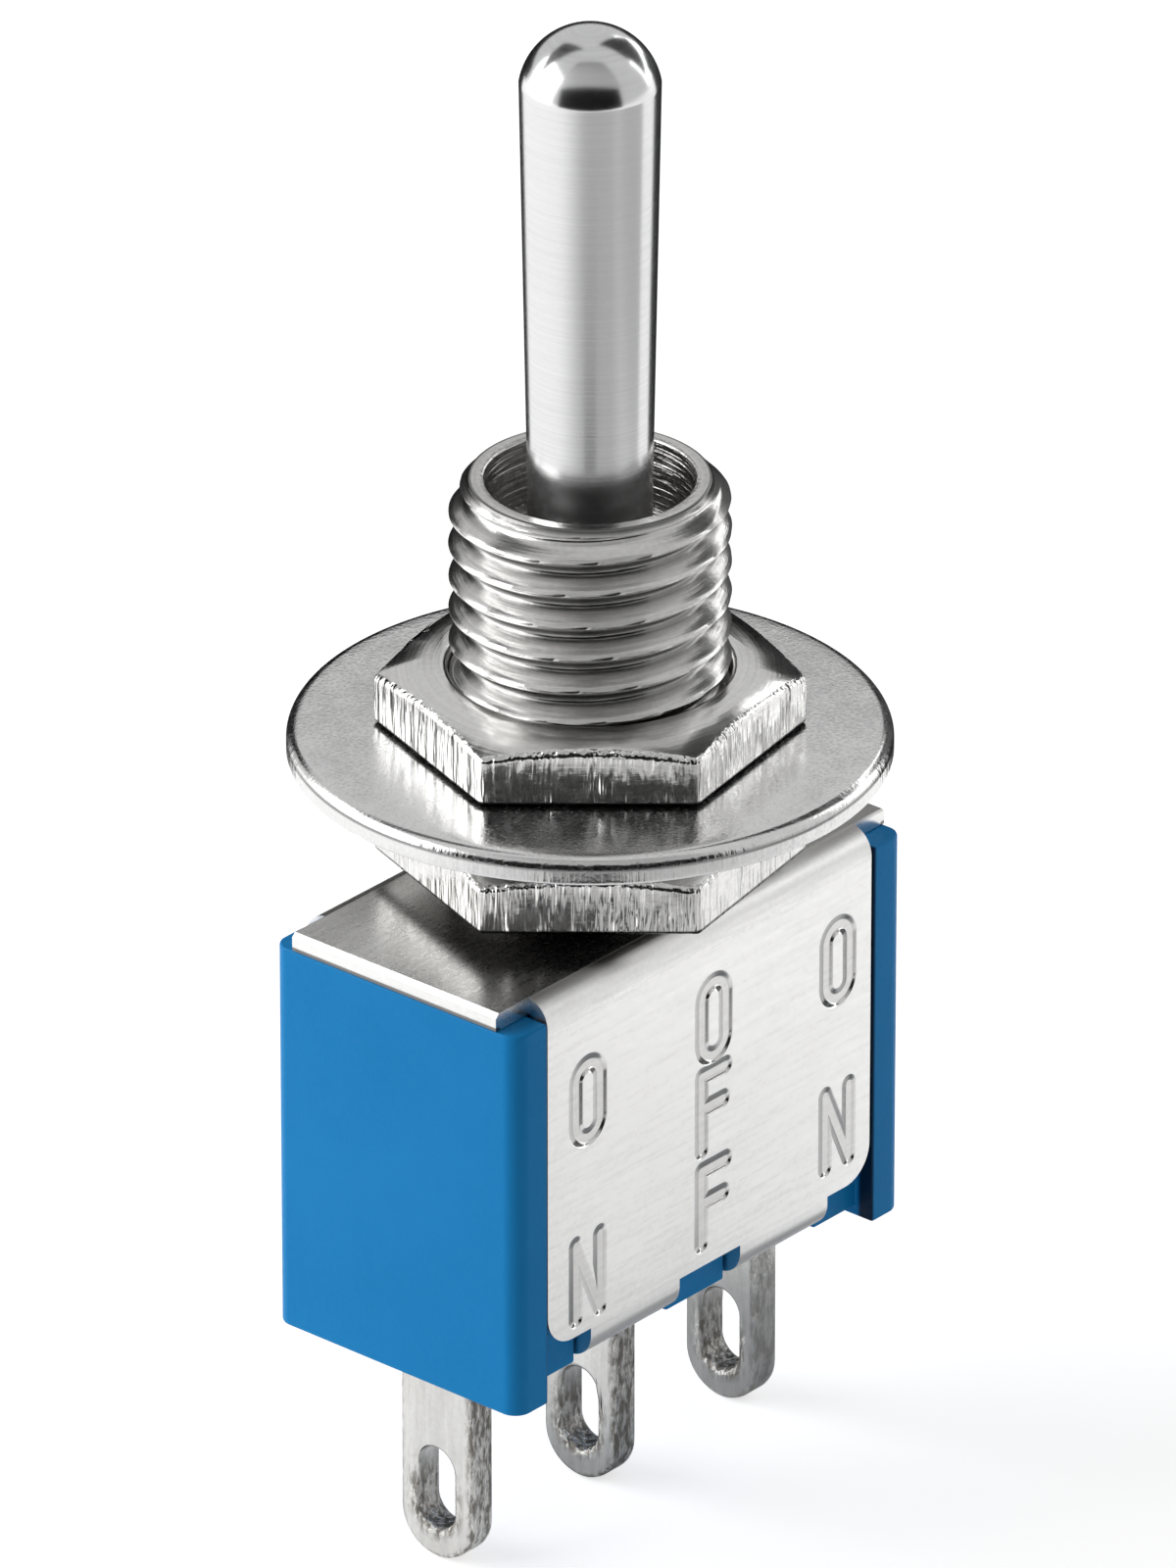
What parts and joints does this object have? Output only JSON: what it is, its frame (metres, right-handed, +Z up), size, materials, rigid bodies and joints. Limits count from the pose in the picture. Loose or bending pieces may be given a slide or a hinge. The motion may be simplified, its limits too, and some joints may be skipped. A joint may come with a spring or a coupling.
{
  "type": "panel toggle switch",
  "caption": "Miniature panel toggle switch with a bat lever, threaded bushing, nuts and washers, steel bracket, blue housing and solder lugs.",
  "frame": {"origin": "on the bushing's axis, at the top face of the bracket, which is the face that sits behind the panel", "axes": "+Z up the bushing and the lever at rest; +X along the row of terminals, the way the lever tips; +Y across the housing"},
  "size_m": [0.013, 0.013, 0.0343],
  "materials": {
    "lever_chrome": "satin chrome plate on turned brass",
    "bushing_nickel": "bright nickel plate on turned brass",
    "bracket_steel": "bright plated sheet steel, finely brushed on the flaps",
    "housing_blue": "moulded blue plastic with a slight grain",
    "nut_nickel": "nickel plate with machining marks on the flats",
    "washer_nickel": "satin nickel plate with a sheared rim",
    "terminal_silver": "silver plated brass with sheared edges",
    "contact_silver": "silver alloy, lightly domed",
    "rocker_copper": "rolled copper alloy strip",
    "plunger_nylon": "natural nylon",
    "spring_steel": "drawn spring wire"
  },
  "bodies": {
    "base": {"bushing": "bushing_nickel", "bracket": "bracket_steel", "housing": "housing_blue", "upper_nut": "nut_nickel", "washer": "washer_nickel", "lock_washer": "washer_nickel", "lower_nut": "nut_nickel", "terminal_left": "terminal_silver", "terminal_centre": "terminal_silver", "terminal_right": "terminal_silver", "contact_left": "contact_silver", "contact_right": "contact_silver"},
    "lever": {"lever": "lever_chrome", "plunger_spring": "spring_steel"},
    "plunger": {"plunger": "plunger_nylon"},
    "rocker": {"rocker": "rocker_copper", "rocker_contact_left": "contact_silver", "rocker_contact_right": "contact_silver"}
  },
  "joints": [
    {"name": "lever_tilt", "type": "hinge", "parent": "base", "child": "lever", "pos_m": [0, 0, 0.0056], "axis": [0, 1, 0], "range_deg": [-12.5, 12.5]},
    {"name": "rocker_tilt", "type": "hinge", "parent": "base", "child": "rocker", "pos_m": [0, 0, -0.00446], "axis": [0, 1, 0], "range_deg": [-9, 9]},
    {"name": "plunger_slide", "type": "slide", "parent": "lever", "child": "plunger", "axis": [0, 0, 1], "range_m": [0, 0.0005], "stiffness_N_per_m": 400, "springref_m": -0.0006, "deforming": ["plunger_spring"]}
  ],
  "couplings": [
    {"joint": "rocker_tilt", "follows": "lever_tilt", "ratio": -0.72}
  ]
}
